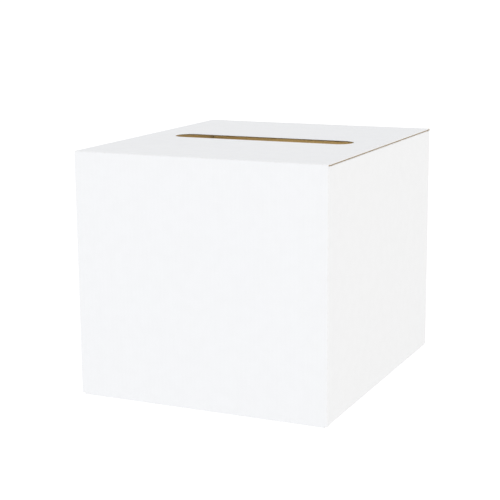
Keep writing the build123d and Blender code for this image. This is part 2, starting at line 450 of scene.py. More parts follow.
class Surface(Graph):
    """The graph of one procedural material, on the piece's own Object coordinates."""

    def __init__(self, name: str) -> None:
        """Starts a material with a Principled shader.

        Args:
            name: The material's name.
        """
        self.material = bpy.data.materials.new(name)
        super().__init__(self.material)
        self.place = self.add("ShaderNodeTexCoord", "Object", {})

    def shade(self, values: dict[str | int, Value]) -> bpy.types.Material:
        """Feeds the shader, and gives the material."""
        self.feed(self.tree.nodes["Principled BSDF"], values)
        return self.material

    def math(self, operation: str, *values: Value) -> bpy.types.NodeSocket:
        """The result of a Math node on values or sockets."""
        return self.add("ShaderNodeMath", 0, dict(enumerate(values)), operation=operation)

    def axis(self, name: str) -> bpy.types.NodeSocket:
        """One coordinate of the place on the piece, in metres."""
        return self.add("ShaderNodeSeparateXYZ", name, {0: self.place})

    def noise(
        self, size: float, detail: float = 3.0, stretch: Sequence[float] = (1, 1, 1)
    ) -> bpy.types.NodeSocket:
        """Noise around one half.

        Args:
            size: The size of its spots, in metres.
            detail: How many finer octaves it has.
            stretch: How much longer the spots are along each axis.

        Returns:
            The socket of its value.
        """
        scale = [1 / (size * along) for along in stretch]
        place = self.add("ShaderNodeMapping", 0, {"Vector": self.place, "Scale": scale})
        return self.add("ShaderNodeTexNoise", "Fac", {"Vector": place, "Scale": 1.0, "Detail": detail})

    def ramp(self, value: Value, low: float, high: float) -> bpy.types.NodeSocket:
        """A smooth step from 0 at one value to 1 at another."""
        values = {"Value": value, "From Min": low, "From Max": high}
        return self.add("ShaderNodeMapRange", "Result", values, interpolation_type="SMOOTHSTEP")

    def blend(self, amount: Value, first: Value, second: Value) -> bpy.types.NodeSocket:
        """A mix of two colours."""
        return self.add("ShaderNodeMix", 2, {0: amount, 6: first, 7: second}, data_type="RGBA")

    def stripes(self, run: FluteRun) -> bpy.types.NodeSocket:
        """A wave from 0 to 1 that follows the flutes under a liner."""
        turns = self.math("MULTIPLY", self.axis(run.value), 2 * math.pi / BOARD.flute_pitch)
        return self.math("MULTIPLY_ADD", self.math("COSINE", turns), 0.5, 0.5)

    def relief(self, height: Value, depth: float, strength: float) -> bpy.types.NodeSocket:
        """A bump from a height from 0 to 1 and its real depth in metres."""
        return self.add("ShaderNodeBump", 0, {"Height": height, "Distance": depth, "Strength": strength})


@dataclass(frozen=True)
class CoatedLiner:
    """The white coated liner: even, half matt, with faint mottling and scuffs along the creases."""

    sizes: BoxSizes
    white: Colour = (0.811, 0.821, 0.840, 1.0)
    shade: Colour = (0.800, 0.809, 0.827, 1.0)
    scuff: Colour = (0.70, 0.69, 0.67, 1.0)
    roughness: float = 0.62
    roughness_spread: float = 0.06
    specular: float = 0.28
    mottle_size: float = 9 * MM
    mottle_range: Point = (0.35, 0.65)
    mottle_share: float = 0.6
    stripe_share: float = 0.25
    fibre_size: float = 0.35 * MM
    relief_depth: float = 0.02 * MM
    relief_strength: float = 0.35
    scuff_reach: float = 1.3 * MM
    scuff_size: float = 2.5 * MM
    scuff_range: Point = (0.45, 0.7)
    scuff_share: float = 0.5

    def dress(self, run: FluteRun) -> bpy.types.Material:
        """Builds the material.

        Args:
            run: The axis that the flutes are spaced along.

        Returns:
            The material.
        """
        graph = Surface(f"white_liner_{run.name.lower()}")
        mottle = graph.ramp(graph.noise(self.mottle_size), *self.mottle_range)
        clouds = graph.math("MULTIPLY", mottle, self.mottle_share)
        cloud = graph.math("MULTIPLY_ADD", graph.stripes(run), self.stripe_share, clouds)
        colour = graph.blend(cloud, self.white, self.shade)

        # A scuff needs two of the box's outer faces near by, so it only follows its edges.
        sizes = self.sizes
        side, end, top = (
            graph.ramp(distance, edge - self.scuff_reach, edge)
            for distance, edge in (
                (graph.math("ABSOLUTE", graph.axis("X")), sizes.half_width),
                (graph.math("ABSOLUTE", graph.axis("Y")), sizes.half_depth),
                (graph.axis("Z"), sizes.height),
            )
        )
        pairs = [graph.math("MULTIPLY", *pair) for pair in ((side, end), (side, top), (end, top))]
        edge = graph.math("MAXIMUM", graph.math("MAXIMUM", *pairs[:2]), pairs[2])
        rubbed = graph.ramp(graph.noise(self.scuff_size, 5.0), *self.scuff_range)
        amount = graph.math("MULTIPLY", graph.math("MULTIPLY", edge, rubbed), self.scuff_share)
        fibres = graph.noise(self.fibre_size, 4.0)
        return graph.shade({
            "Base Color": graph.blend(amount, colour, self.scuff),
            "Roughness": graph.math("MULTIPLY_ADD", mottle, self.roughness_spread, self.roughness),
            "Specular IOR Level": self.specular,
            "Normal": graph.relief(fibres, self.relief_depth, self.relief_strength),
        })


@dataclass(frozen=True)
class BrownPaper:
    """Unbleached paper: long fibres, dark and light flecks, and the lines of the flutes."""

    name: str
    base: Colour
    dark: Colour
    fleck: Colour
    stripe_share: float
    roughness: float = 0.86
    specular: float = 0.2
    cloud_size: float = 14 * MM
    cloud_share: float = 0.25
    fibre_size: float = 0.22 * MM
    fibre_stretch: float = 7.0
    fibre_share: float = 0.45
    tone_range: Point = (0.3, 0.7)
    fleck_size: float = 0.9 * MM
    fleck_range: Point = (0.66, 0.74)
    fleck_share: float = 0.55
    relief_depth: float = 0.05 * MM
    relief_strength: float = 0.6

    def dress(self, run: FluteRun) -> bpy.types.Material:
        """Builds the material.

        Args:
            run: The axis that the flutes are spaced along, and the fibres run along.

        Returns:
            The material.
        """
        graph = Surface(f"{self.name}_{run.name.lower()}")
        stretch = [self.fibre_stretch if run.value == axis else 1.0 for axis in "XYZ"]
        fibres = graph.noise(self.fibre_size, 4.0, stretch)
        clouds = graph.ramp(graph.noise(self.cloud_size), *self.tone_range)
        clouds = graph.math("MULTIPLY", clouds, self.cloud_share)
        tone = graph.math("MULTIPLY_ADD", graph.ramp(fibres, *self.tone_range), self.fibre_share, clouds)
        lines = graph.math("MULTIPLY_ADD", graph.stripes(run), self.stripe_share, tone)
        colour = graph.blend(lines, self.base, self.dark)
        flecks = graph.ramp(graph.noise(self.fleck_size, 2.0, stretch), *self.fleck_range)
        return graph.shade({
            "Base Color": graph.blend(graph.math("MULTIPLY", flecks, self.fleck_share), colour, self.fleck),
            "Roughness": self.roughness,
            "Specular IOR Level": self.specular,
            "Normal": graph.relief(fibres, self.relief_depth, self.relief_strength),
        })


@dataclass(frozen=True)
class DriedGlue:
    """Dried paper glue: yellowish, half clear, with a skin of fine ripples."""

    colour: Colour = (0.72, 0.64, 0.45, 1.0)
    dull: Colour = (0.60, 0.52, 0.36, 1.0)
    dull_range: Point = (0.35, 0.65)
    roughness: float = 0.32
    ripple_size: float = 1.6 * MM
    ripple_depth: float = 0.03 * MM
    ripple_strength: float = 0.5

    def dress(self) -> bpy.types.Material:
        """Builds the material.

        Returns:
            The material.
        """
        graph = Surface("dried_glue")
        ripples = graph.noise(self.ripple_size)
        return graph.shade({
            "Base Color": graph.blend(graph.ramp(ripples, *self.dull_range), self.colour, self.dull),
            "Roughness": self.roughness,
            "Normal": graph.relief(ripples, self.ripple_depth, self.ripple_strength),
        })


KRAFT = BrownPaper(
    "kraft_liner", (0.51, 0.36, 0.175, 1.0), (0.39, 0.265, 0.12, 1.0), (0.26, 0.165, 0.075, 1.0), 0.22
)
MEDIUM = BrownPaper(
    "flute_paper", (0.46, 0.32, 0.16, 1.0), (0.34, 0.225, 0.105, 1.0), (0.21, 0.13, 0.06, 1.0), 0.0
)


class Finishes:
    """Every finish of the box: each ply's, for each way that the flutes run, and the glue's."""

    def __init__(self, sizes: BoxSizes) -> None:
        """Builds the finishes.

        Args:
            sizes: The box's sizes, whose edges carry the scuffs.
        """
        papers = {Ply.OUTER: CoatedLiner(sizes), Ply.INNER: KRAFT, Ply.FLUTED: MEDIUM}
        self.plies = {(ply, run): papers[ply].dress(run) for ply in Ply for run in FluteRun}
        self.glue = DriedGlue().dress()


# Dies


@dataclass(frozen=True)
class Die:
    """A cutting shape for a flat panel, with its corners in the panel's own X and Y.

    Attributes:
        low: The lowest corner.
        high: The highest corner.
        keep: Whether the panel keeps what lies in the die, or loses it.
        trims: Straight cuts that shape it further, each from one point to another. What lies to the
            left of the cut is kept.
        rounded: The corners that are rounded.
        radius: The radius of the rounded corners.
        round_steps: How many steps a rounded corner has.
        reach: How far it reaches past the panel's inner face, both ways.
    """

    low: Point
    high: Point
    keep: bool = False
    trims: tuple[Line, ...] = ()
    rounded: tuple[Point, ...] = ()
    radius: float = 5 * MM
    round_steps: int = 8
    reach: float = 8 * MM

    def make(self) -> Workpiece:
        """Makes the die as a block that reaches past both faces of the board.

        Returns:
            The block.
        """
        low = Vector((*self.low, -self.reach))
        piece = Workpiece.start("die", low, Vector((*self.high, -self.reach)), (1, 1))
        for start, end in self.trims:
            run = Vector(end) - Vector(start)
            piece.score((*start, 0), (run.y, -run.x, 0), clear_outer=True)
        for corner in self.rounded:
            place = Vector((*corner, -self.reach))
            piece.pick(lambda co: (co - place).length < 10 * NEAR)
            bpy.ops.mesh.bevel(offset=self.radius, segments=self.round_steps, affect="VERTICES")
        piece.pick_all()
        bpy.ops.mesh.extrude_region_move(TRANSFORM_OT_translate={"value": (0, 0, 2 * self.reach)})
        piece.weld()
        return piece


@dataclass(frozen=True)
class SlotDie:
    """The die of the ballot slot, with round ends."""

    length: float
    width: float
    middle: Point
    keep: bool = False
    steps: int = 64
    reach: float = 8 * MM

    def make(self) -> Workpiece:
        """Makes the die from a round one, with its halves drawn apart.

        Returns:
            The die.
        """
        bpy.ops.object.select_all(action="DESELECT")
        bpy.ops.mesh.primitive_cylinder_add(
            vertices=self.steps,
            radius=self.width / 2,
            depth=2 * self.reach,
            location=(*self.middle, 0),
        )
        bpy.ops.object.transform_apply(location=True, rotation=True, scale=True)
        piece = Workpiece("slot_die")
        for side in (1, -1):
            piece.pick(lambda co: side * (co.x - self.middle[0]) > NEAR)
            piece.move((side * (self.length - self.width) / 2, 0, 0))
        piece.close()
        return piece


# Panels


@dataclass
class Panel:
    """One flat panel of the blank between its creases, with its three plies.

    Its own frame has Y along the flutes and Z outward, with Z = 0 on the panel's inner face.

    Attributes:
        name: The panel's name, as in the frame's nodes.
        corner: The place of its origin, on the inner face.
        along: The direction of its flutes.
        outward: The direction of its white face.
        low: Its lowest corner, in its own frame.
        high: Its highest corner.
        dies: The dies that cut it.
        body: The body that it rides on.
        shape: What bends it after it is cut, if anything does.
        crushed: The sides along the flutes that the cutting rule has crushed, as -1 and 1.
    """

    name: str
    corner: Vector
    along: Vector
    outward: Vector
    low: Point
    high: Point
    dies: tuple[Die | SlotDie, ...] = ()
    body: str = "box"
    shape: Callable[[Workpiece], None] | None = None
    crushed: tuple[int, ...] = ()

    def columns(self, per_flute: int) -> int:
        """How many columns a sheet has that keeps step with the flutes."""
        return max(per_flute, round((self.high[0] - self.low[0]) / BOARD.flute_pitch * per_flute))

    def phase(self, co: Vector, per_flute: int) -> int:
        """The place of a vertex in its flute, counted in columns from the crest."""
        step = (self.high[0] - self.low[0]) / self.columns(per_flute)
        return round((co.x - self.low[0]) / step) % per_flute

    def flat(self, ply: Ply, height: float, per_flute: int, rows: int) -> Workpiece:
        """A flat sheet at a height, with columns that keep step with the flutes.

        Args:
            ply: The ply that it becomes.
            height: Its height over the panel's inner face.
            per_flute: How many columns one flute has.
            rows: How many rows it has.

        Returns:
            The sheet.
        """
        low = Vector((*self.low, height))
        high = Vector((*self.high, height))
        return Workpiece.start(f"{self.name}_{ply.value[0]}", low, high, (self.columns(per_flute), rows))

    def liner(self, ply: Ply, height: float, thickness: float, dip: float) -> Workpiece:
        """A liner sheet, which dips a little between the crests that it is glued to.

        Args:
            ply: Which liner it is.
            height: The height of its outer face.
            thickness: The liner's thickness.
            dip: How far it dips, towards the middle of the board.

        Returns:
            The sheet.
        """
        piece = self.flat(ply, height, BOARD.liner_columns, 3)
        third = (self.high[1] - self.low[1]) / 3
        to_margin = third - BOARD.dip_margin
        for row, step in ((self.low[1] + third, -to_margin), (self.high[1] - third, to_margin)):
            piece.pick(lambda co: abs(co.y - row) < NEAR)
            piece.move((0, step, 0))
        low = self.low[1] + BOARD.dip_margin / 2
        high = self.high[1] - BOARD.dip_margin / 2
        for phase, share in ((1, 0.5), (2, 1.0), (3, 0.5)):
            piece.pick(lambda co: low < co.y < high and self.phase(co, BOARD.liner_columns) == phase)
            piece.move((0, 0, -dip * share))
        piece.modify("SOLIDIFY", thickness=thickness, offset=-1.0)
        return piece

    def wave(self) -> Workpiece:
        """The fluted middle: a wave of paper from liner to liner.

        Returns:
            The wave.
        """
        steps = BOARD.wave_columns
        piece = self.flat(Ply.FLUTED, BOARD.inner_liner + BOARD.fluting / 2, steps, 1)
        for phase in range(steps):
            piece.pick(lambda co: self.phase(co, steps) == phase)
            piece.move((0, 0, BOARD.swing * math.cos(2 * math.pi * phase / steps)))
        piece.modify("SOLIDIFY", thickness=BOARD.flute_paper, offset=0.0, use_even_offset=True)
        return piece

    def crush(self, piece: Workpiece, ply: Ply, side: int) -> None:
        """Crushes one side of a ply towards the inner liner, as the cutting rule does.

        Args:
            piece: The ply's sheet.
            ply: The ply.
            side: The side, as -1 or 1.
        """
        edge = max(self.high[0] * side, self.low[0] * side)
        step = BOARD.crush_reach / BOARD.crush_steps
        rows = [edge - BOARD.crush_reach + index * step for index in range(BOARD.crush_steps + 1)]
        drops = [BOARD.crush_drop * smooth_step(index / BOARD.crush_steps) for index in range(len(rows))]
        for row in rows[:-1]:
            piece.score((side * row, 0, 0), (1, 0, 0))
        for index in range(1, len(rows)):
            start = rows[index] - step / 2
            piece.pick(lambda co: side * co.x > start)
            if ply is Ply.OUTER:
                piece.move((0, 0, drops[index - 1] - drops[index]))
                continue
            left = (BOARD.fluting - drops[index]) / (BOARD.fluting - drops[index - 1])
            bpy.ops.transform.resize(value=(1, 1, left), center_override=(0, 0, BOARD.inner_liner))
        piece.close()

    def build(self, finishes: Finishes) -> None:
        """Makes the panel's plies, cuts and bends them, and puts them in their place.

        Args:
            finishes: The box's finishes.
        """
        sheets = {
            Ply.OUTER: self.liner(Ply.OUTER, BOARD.thickness, BOARD.outer_liner, BOARD.outer_dip),
            Ply.FLUTED: self.wave(),
            Ply.INNER: self.liner(Ply.INNER, BOARD.inner_liner, BOARD.inner_liner, -BOARD.inner_dip),
        }
        dies = [(die.make(), die.keep) for die in self.dies]
        for ply, piece in sheets.items():
            for die, keep in dies:
                piece.cut(die, keep)
            for side in self.crushed if ply is not Ply.INNER else ():
                self.crush(piece, ply, side)
            if self.shape:
                self.shape(piece)
            piece.weld()
            piece.place(local_frame(self.corner, self.along, self.outward))
            piece.smooth()
            coat(piece.obj, finishes.plies[ply, FluteRun.of(self.along, self.outward)])
            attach(piece.obj, self.body)
            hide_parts(f"{self.name}_{ply.value[1]}")
        for die, _ in dies:
            die.scrap()
        LOG.info("panel %s: three plies on body %s", self.name, self.body)


# Creases


@dataclass
class Crease:
    """A crease, where the plies bend round together and the fluted paper is crushed.

    It is drawn with its inner corner on its own X axis. The first panel comes from -Y with its white
    face towards +Z, and the second one leaves downward.

    Attributes:
        name: The crease's name.
        corner: A point on its inner corner.
        along: The way that the first panel runs to the crease.
        outward: The way that the first panel's white face looks.
        start: Where the crease starts, along its own X.
        end: Where it ends.
        bodies: The body that it rides on, or the two that it lies between.
        axis: A point on the axis that the second panel turns about, if it turns; not used.
        turn: How far it is folded, in degrees.
        cuts: Blocks that are cut away at its ends, as low and high corners on the box.
        crushed: Whether the cutting rule has crushed its ends.
        wrapped: Whether the white liner wraps round its ends and where it is cut away.
        steps: How many steps it bends round in.
        bend_reach: How far from its axis it would start and end to bend as it turns; not used.
    """

    name: str
    corner: Vector
    along: Vector
    outward: Vector
    start: float
    end: float
    bodies: tuple[str, ...] = ("box",)
    axis: Vector | None = None
    turn: float = 90.0
    cuts: tuple[tuple[Vector, Vector], ...] = ()
    crushed: bool = False
    wrapped: bool = False
    steps: int = 10
    bend_reach: float = 0.96 * MM

    @property
    def leaving(self) -> Vector:
        """The way that the second panel leaves the crease, in the crease's own frame."""
        turn = math.radians(self.turn)
        return Vector((0, math.cos(turn), -math.sin(turn)))

    def build(self, finishes: Finishes) -> None:
        """Makes the crease and puts it in its place.

        Args:
            finishes: The box's finishes.
        """
        low = Vector((self.start, -BOARD.flank, 0))
        piece = Workpiece.start(self.name, low, Vector((self.end, 0, BOARD.thickness)))
        piece.pick(lambda centre: centre.y > -NEAR, faces=True)
        bpy.ops.mesh.spin(steps=self.steps, angle=math.radians(self.turn), center=(0, 0, 0), axis=(1, 0, 0))
        bpy.ops.mesh.extrude_region_move(TRANSFORM_OT_translate={"value": self.leaving * BOARD.flank})
        piece.weld()
        self.dress(piece, finishes)
        if self.crushed:
            self.crush_ends(piece)
        matrix = local_frame(self.corner, self.along, self.outward)
        piece.place(matrix)
        for low, high in self.cuts:
            block = Workpiece.start("cut", low, high)
            coat(block.obj, *piece.obj.data.materials)
            for face in block.obj.data.polygons:
                face.material_index = 0 if self.wrapped else 2
            piece.cut(block, False)
            block.scrap()
        piece.weld()
        piece.smooth()
        self.carry(piece)
        LOG.info("crease %s: on %s", self.name, " and ".join(self.bodies))

    def crush_ends(self, piece: Workpiece) -> None:
        """Crushes the ends of a square crease towards its inner corner.

        Args:
            piece: The crease, in its own frame.
        """
        left = 1 - BOARD.crush_drop / BOARD.thickness
        parts = (
            (lambda co: co.y < TOUCH and co.z > TOUCH, (1, 1, left)),
            (lambda co: co.y > TOUCH and co.z > -TOUCH, (1, left, left)),
            (lambda co: co.z < -TOUCH and co.y > TOUCH, (1, left, 1)),
        )
        for end, way in ((self.start, 1), (self.end, -1)):
            piece.score((end + way * BOARD.crush_reach, 0, 0), (1, 0, 0))
            for test, value in parts:
                piece.pick(lambda co: abs(co.x - end) < TOUCH and test(co))
                bpy.ops.transform.resize(value=value, center_override=(end, 0, 0))
        piece.close()

    def dress(self, piece: Workpiece, finishes: Finishes) -> None:
        """Gives the faces their finish: white outside, brown inside, crushed paper at the ends.

        Args:
            piece: The crease, in its own frame.
            finishes: The box's finishes.
        """
        run = FluteRun.of(self.along, self.outward)
        coat(piece.obj, *(finishes.plies[ply, run] for ply in Ply))
        mesh = piece.obj.data
        leaving = self.leaving
        out_of_second = Vector((0, -leaving.z, leaving.y))
        inner = [
            (abs(v.co.z) < NEAR and v.co.y < NEAR)
            or (abs(v.co.dot(out_of_second)) < NEAR and v.co.dot(leaving) > -NEAR)
            for v in mesh.vertices
        ]
        # The finishes are numbered as the plies are: 0 is white, 1 the inner liner, 2 fluted paper.
        for face in mesh.polygons:
            held = [inner[index] for index in face.vertices]
            face.material_index = 1 if all(held) else 2 if any(held) else 0
            wrapped = self.wrapped or self.crushed and face.center.y < 0
            if wrapped and abs(face.normal.x) > 0.5:
                face.material_index = 0

    def carry(self, piece: Workpiece) -> None:
        """Lets the crease ride on its body; a crease between two bodies stays on neither, with its place
        baked into its mesh.

        Args:
            piece: The crease, in its place.
        """
        if len(self.bodies) == 1:
            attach(piece.obj, self.bodies[0])
            return
        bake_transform(piece.obj)


# Sub-assemblies of the box


@dataclass
class DustFlap:
    """A short flap on top of a side wall, and its crease."""

    side: Side
    sizes: BoxSizes
    finishes: Finishes
    front_setback: float = 3.0 * MM
    back_setback: float = 4.0 * MM
    front_bevel: float = 14.0 * MM
    back_bevel: float = 4.0 * MM
    corner_radius: float = 4.0 * MM

    @property
    def root(self) -> Point:
        """The ends of its crease, along the X of the side's own panels."""
        back = self.sizes.inside_y - self.back_setback
        return self.side.span(self.front_setback - self.sizes.inside_y, back)

    def build(self) -> None:
        """Makes the flap and its crease."""
        sizes = self.sizes
        side = self.side
        name = f"{side.label}_dust_flap"
        free_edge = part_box(f"{name}_inner_liner")[int(side is Side.LEFT)].x
        reach = sizes.inside_x - abs(free_edge)
        low, high = self.root
        low_bevel, high_bevel = (self.front_bevel, self.back_bevel)[:: side.value]
        low_tip = (low + low_bevel, reach)
        high_tip = (high - high_bevel, reach)
        corner = side.outward * sizes.inside_x + Z * (sizes.wall_top - BOARD.thickness)
        outline = Die(
            (low, -SPARE), (high, reach), True,
            (((high, 0), high_tip), (low_tip, (low, 0))), (high_tip, low_tip), self.corner_radius,
        )
        panel = Panel(
            name, corner, -side.outward, Z,
            (low - SPARE, BOARD.flank), (high + SPARE, reach + SPARE), (outline,), name,
        )
        panel.build(self.finishes)
        joint = f"{side.label}_dust_crease"
        crease = Crease(joint, corner, Z, side.outward, low, high, ("box", name), joint_axis(joint))
        crease.build(self.finishes)


@dataclass
class Tube:
    """The four walls, with their upright creases, and the glued seam at the back left corner."""

    sizes: BoxSizes
    finishes: Finishes
    seam_width: float = 24 * MM
    seam_taper: float = 7 * MM
    cut_past: float = 5 * MM

    @property
    def seam_box(self) -> tuple[Vector, Vector]:
        """The corners of the seam flap's inner liner, in the frame."""
        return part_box("seam_flap_inner_liner")

    def floor_of(self, layer: int) -> float:
        """Where a wall starts, over the crease of its bottom flap."""
        return layer * self.sizes.layer + BOARD.thickness + BOARD.flank

    def front_and_back(self) -> list[Panel]:
        """The front wall and the back wall.

        Returns:
            The two panels.
        """
        sizes = self.sizes
        side = sizes.inside_x - BOARD.flank
        seam_side = -self.seam_box[1].x - BOARD.flank
        front_high = (side, sizes.lid_crease)
        back_high = (seam_side, sizes.back_top)
        return [
            Panel("front_wall", -Y * sizes.inside_y, Z, -Y, (-side, self.floor_of(0)), front_high),
            Panel("back_wall", Y * sizes.inside_y, Z, Y, (-side, self.floor_of(2)), back_high),
        ]

    def side_wall(self, side: Side) -> Panel:
        """A side wall, cut down along its top for the dust flap's crease.

        Args:
            side: Which of the two.

        Returns:
            The panel.
        """
        sizes = self.sizes
        near = sizes.inside_y - BOARD.flank
        low, high = side.span(-near, near if side is Side.RIGHT else sizes.left_edge)
        start, end = DustFlap(side, sizes, self.finishes).root
        crease = sizes.wall_top - BOARD.thickness - BOARD.flank
        top = Die((start - BOARD.cut_gap, crease), (end + BOARD.cut_gap, sizes.height))
        return Panel(
            f"{side.label}_wall", side.outward * sizes.inside_x, Z, side.outward,
            (low, self.floor_of(1)), (high, sizes.wall_top), (top,),
            crushed=() if side is Side.RIGHT else (-1,),
        )

    def seam_flap(self) -> Panel:
        """The flap that is glued inside the left wall, tapered at both ends.

        Returns:
            The panel.
        """
        low, high = self.seam_box
        fold = -self.sizes.inside_y
        back = BOARD.flank - self.sizes.inside_y
        free = self.seam_width - self.sizes.inside_y
        past = BOARD.flank
        bottom_trim = ((fold, low.z), (free, low.z + self.seam_taper))
        top_trim = ((free, high.z - self.seam_taper), (fold, high.z))
        outline = Die((back - past, low.z), (free, high.z), True, (bottom_trim, top_trim))
        return Panel(
            "seam_flap", X * high.x, Z, -X,
            (back, low.z - past), (free + past, high.z + past), (outline,),
        )

    def creases(self) -> list[Crease]:
        """The creases between the walls, each cut away where a wall or flap stops short.

        Returns:
            The four creases.
        """
        sizes = self.sizes
        x = sizes.inside_x
        y = sizes.inside_y
        past = self.cut_past
        low, high = self.seam_box
        top = sizes.height + past
        wide = (-sizes.half_width - past, sizes.half_width + past)
        left = (-sizes.half_width, 0)
        behind = (y - past, y)
        front_cut = corners(wide, (-y - past, -y), (sizes.lid_crease, top))
        back_cut = corners(wide, behind, (sizes.wall_top, top))
        seam_cuts = (
            corners(left, behind, (high.z, top)),
            corners(left, behind, (-past, low.z)),
            corners((BOARD.flank - x, 0), (y - past, sizes.half_depth + past), (-past, self.floor_of(2))),
        )
        front = (-sizes.wall_top, -sizes.layer, (front_cut,), True)
        back = (-sizes.back_top, -2 * sizes.layer)
        table = (
            ("front_right_crease", Vector((x, -y, 0)), X, -Y, *front),
            ("back_right_crease", Vector((x, y, 0)), Y, X, *back, (back_cut,), False),
            ("front_left_crease", Vector((-x, -y, 0)), -Y, -X, *front),
            ("seam_crease", Vector((high.x, y, 0)), -X, Y, *back, seam_cuts, False),
        )
        return [
            Crease(name, corner, along, outward, start, end, cuts=cuts, wrapped=wrapped)
            for name, corner, along, outward, start, end, cuts, wrapped in table
        ]

    def build(self) -> None:
        """Makes the walls, the seam and their creases."""
        panels = self.front_and_back() + [self.side_wall(side) for side in Side] + [self.seam_flap()]
        for part in panels + self.creases():
            part.build(self.finishes)


@dataclass
class Lid:
    """The lid with the ballot slot, its crease on the front wall, and its tuck flap."""

    sizes: BoxSizes
    finishes: Finishes
    slot_length: float = 150.0 * MM
    slot_width: float = 22.0 * MM
    tuck_length: float = 25.0 * MM
    tuck_lean: float = 6.5
    tuck_corner_radius: float = 10.0 * MM
    lock_slit_length: float = 12.0 * MM

    @property
    def corner(self) -> Vector:
        """The middle of the inner corner of the lid's crease."""
        return Vector((0, -self.sizes.inside_y, self.sizes.height - BOARD.thickness))

    @property
    def tuck_ways(self) -> tuple[Vector, Vector]:
        """The way down the tuck flap, and the way that its white face looks."""
        lean = math.radians(self.tuck_lean)
        return Vector((0, -math.sin(lean), -math.cos(lean))), Vector((0, math.cos(lean), -math.sin(lean)))

    @property
    def tuck_corner(self) -> Vector:
        """The inner corner of the tuck flap's crease, where the inner faces of both panels meet.

        Returns:
            The middle of that corner.
        """
        axis = joint_axis("tuck_crease")
        outward = self.tuck_ways[1]
        depth = self.sizes.height - BOARD.thickness - axis.z
        across = (depth - depth * outward.z) / outward.y
        return Vector((0, axis.y + across, axis.z + depth))

    @property
    def tuck_half(self) -> float:
        """Half of the tuck flap's width."""
        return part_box("tuck_flap_inner_liner")[1].x

    @property
    def crease_half(self) -> float:
        """Half of the length of the tuck flap's crease, between its two slits."""
        return self.tuck_half - self.lock_slit_length

    def panel(self) -> Panel:
        """The lid's panel, from its crease on the front wall to its back edge.

        Returns:
            The panel.
        """
        sizes = self.sizes
        corner = self.corner
        back = sizes.lid_back - corner.y
        crease = self.tuck_corner.y - BOARD.flank - corner.y
        slot = SlotDie(self.slot_length, self.slot_width, (0, sizes.inside_y))
        notch = Die((-self.crease_half, crease), (self.crease_half, back + BOARD.flank))
        return Panel(
            "lid", corner, Y, Z,
            (-sizes.lid_half_width, BOARD.flank), (sizes.lid_half_width, back), (slot, notch), "lid",
            crushed=(-1, 1),
        )

    def tuck_panel(self) -> Panel:
        """The tuck flap's panel, with the two lock slits at the ends of its crease.

        Returns:
            The panel.
        """
        along, outward = self.tuck_ways
        corner = self.tuck_corner
        to_corner = (corner - joint_axis("tuck_crease")).dot(along)
        reach = self.tuck_length - to_corner
        half = self.tuck_half
        tips = ((-half, reach), (half, reach))
        outline = Die((-half, -SPARE), (half, reach), True, (), tips, self.tuck_corner_radius)
        notch = Die((-self.crease_half, -SPARE), (self.crease_half, BOARD.flank))
        return Panel(
            "tuck_flap", corner, along, outward,
            (-half - SPARE, BOARD.thickness - to_corner), (half + SPARE, reach + SPARE),
            (outline, notch), "tuck_flap",
        )

    def build(self) -> None:
        """Makes the lid, the tuck flap and their creases."""
        wide = self.sizes.lid_half_width
        half = self.crease_half
        hinge = Crease(
            "lid_crease", self.corner, Z, -Y, -wide, wide,
            ("box", "lid"), joint_axis("lid_hinge"), crushed=True,
        )
        tuck = Crease(
            "tuck_flap_crease", self.tuck_corner, Y, Z, -half, half,
            ("lid", "tuck_flap"), joint_axis("tuck_crease"), 90 - self.tuck_lean,
        )
        for part in (self.panel(), self.tuck_panel(), hinge, tuck):
            part.build(self.finishes)


